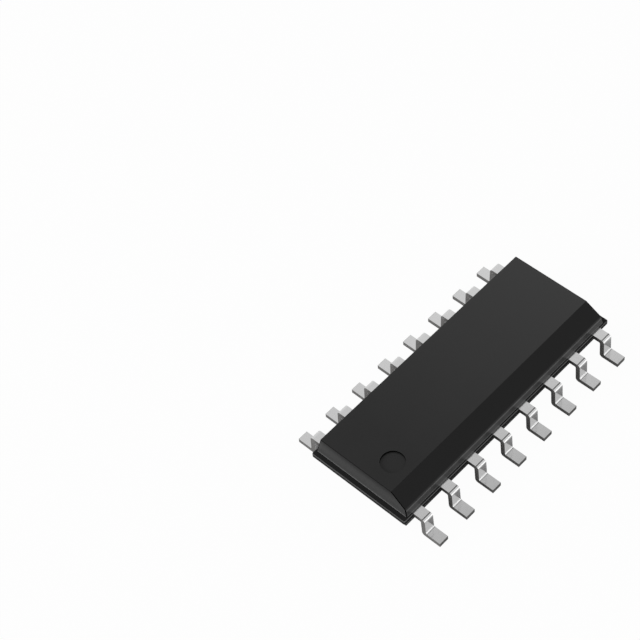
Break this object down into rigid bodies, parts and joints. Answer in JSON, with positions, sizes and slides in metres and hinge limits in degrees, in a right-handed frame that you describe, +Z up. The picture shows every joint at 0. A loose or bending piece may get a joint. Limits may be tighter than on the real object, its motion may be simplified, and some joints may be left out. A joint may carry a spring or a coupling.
{
  "type": "integrated circuit",
  "caption": "Narrow small-outline integrated circuit: black moulded body with a bevelled edge and a round mark, two rows of tinned gull-wing leads, and a wire-bonded die inside.",
  "frame": {"origin": "middle of the seating plane, in which the undersides of the sixteen feet lie, at the part's lowest point", "axes": "+X along the two rows, from the end with the round mark to the other end; +Z up, out of the flat top; leads 1 to 8 on -Y beside the bevelled edge, counted along +X, and leads 9 to 16 on +Y, counted along -X"},
  "size_m": [0.0102, 0.006, 0.0016],
  "materials": {
    "moulding_compound": "matte",
    "tinned_lead": "satin",
    "copper_strip": "satin",
    "silver_filled_adhesive": "matte",
    "silicon": "polished",
    "gold_wire": "polished"
  },
  "bodies": {
    "root": {"bond_wire_01": "gold_wire", "bond_wire_02": "gold_wire", "bond_wire_03": "gold_wire", "bond_wire_04": "gold_wire", "bond_wire_05": "gold_wire", "bond_wire_06": "gold_wire", "bond_wire_07": "gold_wire", "bond_wire_08": "gold_wire", "bond_wire_09": "gold_wire", "bond_wire_10": "gold_wire", "bond_wire_11": "gold_wire", "bond_wire_12": "gold_wire", "bond_wire_13": "gold_wire", "bond_wire_14": "gold_wire", "bond_wire_15": "gold_wire", "bond_wire_16": "gold_wire", "die_adhesive": "silver_filled_adhesive", "die_paddle": "copper_strip", "lead_01": "tinned_lead", "lead_02": "tinned_lead", "lead_03": "tinned_lead", "lead_04": "tinned_lead", "lead_05": "tinned_lead", "lead_06": "tinned_lead", "lead_07": "tinned_lead", "lead_08": "tinned_lead", "lead_09": "tinned_lead", "lead_10": "tinned_lead", "lead_11": "tinned_lead", "lead_12": "tinned_lead", "lead_13": "tinned_lead", "lead_14": "tinned_lead", "lead_15": "tinned_lead", "lead_16": "tinned_lead", "package_body": "moulding_compound", "silicon_die": "silicon"}
  },
  "joints": []
}
